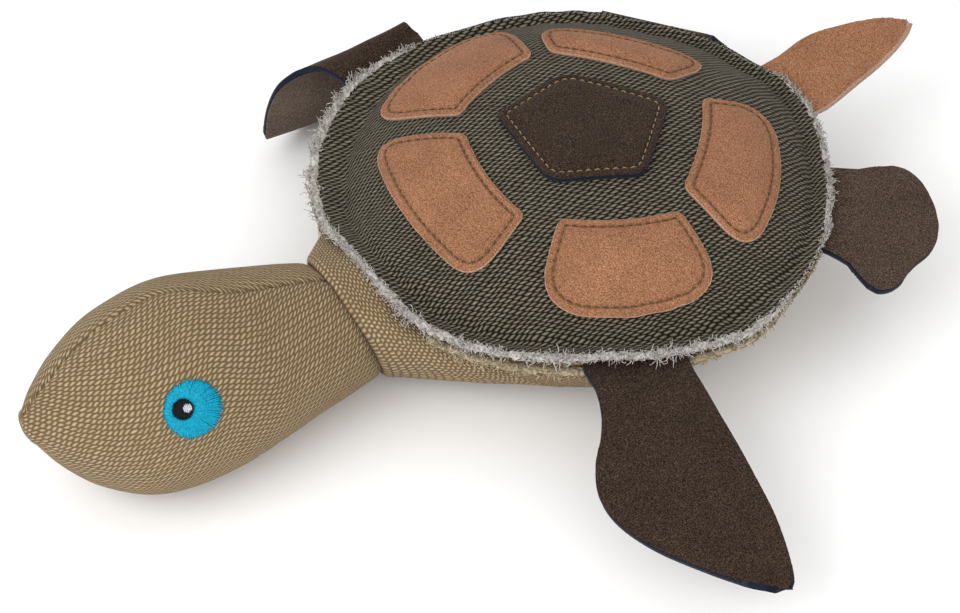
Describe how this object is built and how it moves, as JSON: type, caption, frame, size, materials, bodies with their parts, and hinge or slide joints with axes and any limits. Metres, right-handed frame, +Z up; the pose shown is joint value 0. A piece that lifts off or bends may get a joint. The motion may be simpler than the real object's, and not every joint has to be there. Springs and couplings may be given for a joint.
{
  "type": "turtle dog toy",
  "caption": "Stuffed turtle toy for a dog: canvas shell and head, sewn suede patches, leather flippers and tail that bend at the rim, a neck that swings and nods.",
  "frame": {"origin": "on the floor under the middle of the shell, in the middle of the belly's flat", "axes": "+Z up, -Y towards the nose, +Y along the toy towards the tail, +X towards the turtle's left side"},
  "size_m": [0.3124, 0.3749, 0.0741],
  "materials": {
    "olive_canvas": "coarse twill canvas",
    "khaki_canvas": "coarse woven canvas",
    "frayed_shell_edge": "frayed off-white cotton",
    "frayed_belly_edge": "frayed beige cotton",
    "polyester_filling": "loose white fibre",
    "tan_suede": "brushed suede",
    "brown_suede": "speckled suede",
    "tan_thread": "waxed thread",
    "brown_thread": "waxed thread",
    "cyan_thread": "satin-stitch embroidery",
    "navy_thread": "satin-stitch embroidery",
    "grey_thread": "satin-stitch embroidery",
    "squeaker_plastic": "soft moulded plastic"
  },
  "bodies": {
    "body": {"shell_cover": "olive_canvas", "belly_cover": "khaki_canvas", "neck_collar": "khaki_canvas", "body_filling": "polyester_filling", "shell_fringe": "frayed_shell_edge", "belly_fringe": "frayed_belly_edge", "rim_seam_thread": "tan_thread", "squeaker_bladder": "squeaker_plastic", "squeaker_reed": "squeaker_plastic", "centre_patch": "brown_suede", "centre_patch_stitching": "tan_thread", "front_scute": "tan_suede", "front_scute_stitching": "brown_thread", "left_scute": "tan_suede", "left_scute_stitching": "brown_thread", "rear_left_scute": "tan_suede", "rear_left_scute_stitching": "brown_thread", "rear_right_scute": "tan_suede", "rear_right_scute_stitching": "brown_thread", "right_scute": "tan_suede", "right_scute_stitching": "brown_thread", "front_left_flipper_root": "brown_suede", "front_right_flipper_root": "brown_suede", "rear_left_flipper_root": "brown_suede", "rear_right_flipper_root": "brown_suede", "tail_root": "tan_suede"},
    "neck": {"neck_filling": "polyester_filling"},
    "head": {"head_left_panel": "khaki_canvas", "head_right_panel": "khaki_canvas", "head_filling": "polyester_filling", "left_iris": "cyan_thread", "left_pupil": "navy_thread", "left_highlight": "grey_thread", "right_iris": "cyan_thread", "right_pupil": "navy_thread", "right_highlight": "grey_thread"},
    "front_left_flipper_flap": {"front_left_flipper": "brown_suede"},
    "front_right_flipper_flap": {"front_right_flipper": "brown_suede"},
    "rear_left_flipper_flap": {"rear_left_flipper": "brown_suede"},
    "rear_right_flipper_flap": {"rear_right_flipper": "brown_suede"},
    "tail_flap": {"tail": "tan_suede"}
  },
  "joints": [
    {"name": "neck_swing", "type": "hinge", "parent": "body", "child": "neck", "pos_m": [0, -0.086, 0.025], "axis": [0, 0, 1], "range_deg": [-15, 15], "stiffness_Nm_per_rad": 0.4},
    {"name": "neck_nod", "type": "hinge", "parent": "neck", "child": "head", "pos_m": [0, -0.086, 0.025], "axis": [1, 0, 0], "range_deg": [-8, 15], "stiffness_Nm_per_rad": 0.4},
    {"name": "front_left_flipper_bend", "type": "hinge", "parent": "body", "child": "front_left_flipper_flap", "pos_m": [0.09395, -0.03475, 0.04225], "axis": [-0.4695, -0.8829, 0], "range_deg": [-45, 75], "stiffness_Nm_per_rad": 0.1},
    {"name": "front_right_flipper_bend", "type": "hinge", "parent": "body", "child": "front_right_flipper_flap", "pos_m": [-0.09592, -0.02901, 0.04225], "axis": [-0.2924, 0.9563, 0], "range_deg": [-25, 45], "stiffness_Nm_per_rad": 0.1},
    {"name": "rear_left_flipper_bend", "type": "hinge", "parent": "body", "child": "rear_left_flipper_flap", "pos_m": [0.06312, 0.07711, 0.04225], "axis": [0.7771, -0.6293, 0], "range_deg": [-45, 75], "stiffness_Nm_per_rad": 0.1},
    {"name": "rear_right_flipper_bend", "type": "hinge", "parent": "body", "child": "rear_right_flipper_flap", "pos_m": [-0.06312, 0.07711, 0.04225], "axis": [0.7771, 0.6293, 0], "range_deg": [-30, 75], "stiffness_Nm_per_rad": 0.1},
    {"name": "tail_bend", "type": "hinge", "parent": "body", "child": "tail_flap", "pos_m": [-0.0025, 0.09922, 0.04225], "axis": [1, 0, 0], "range_deg": [-45, 75], "stiffness_Nm_per_rad": 0.1}
  ]
}
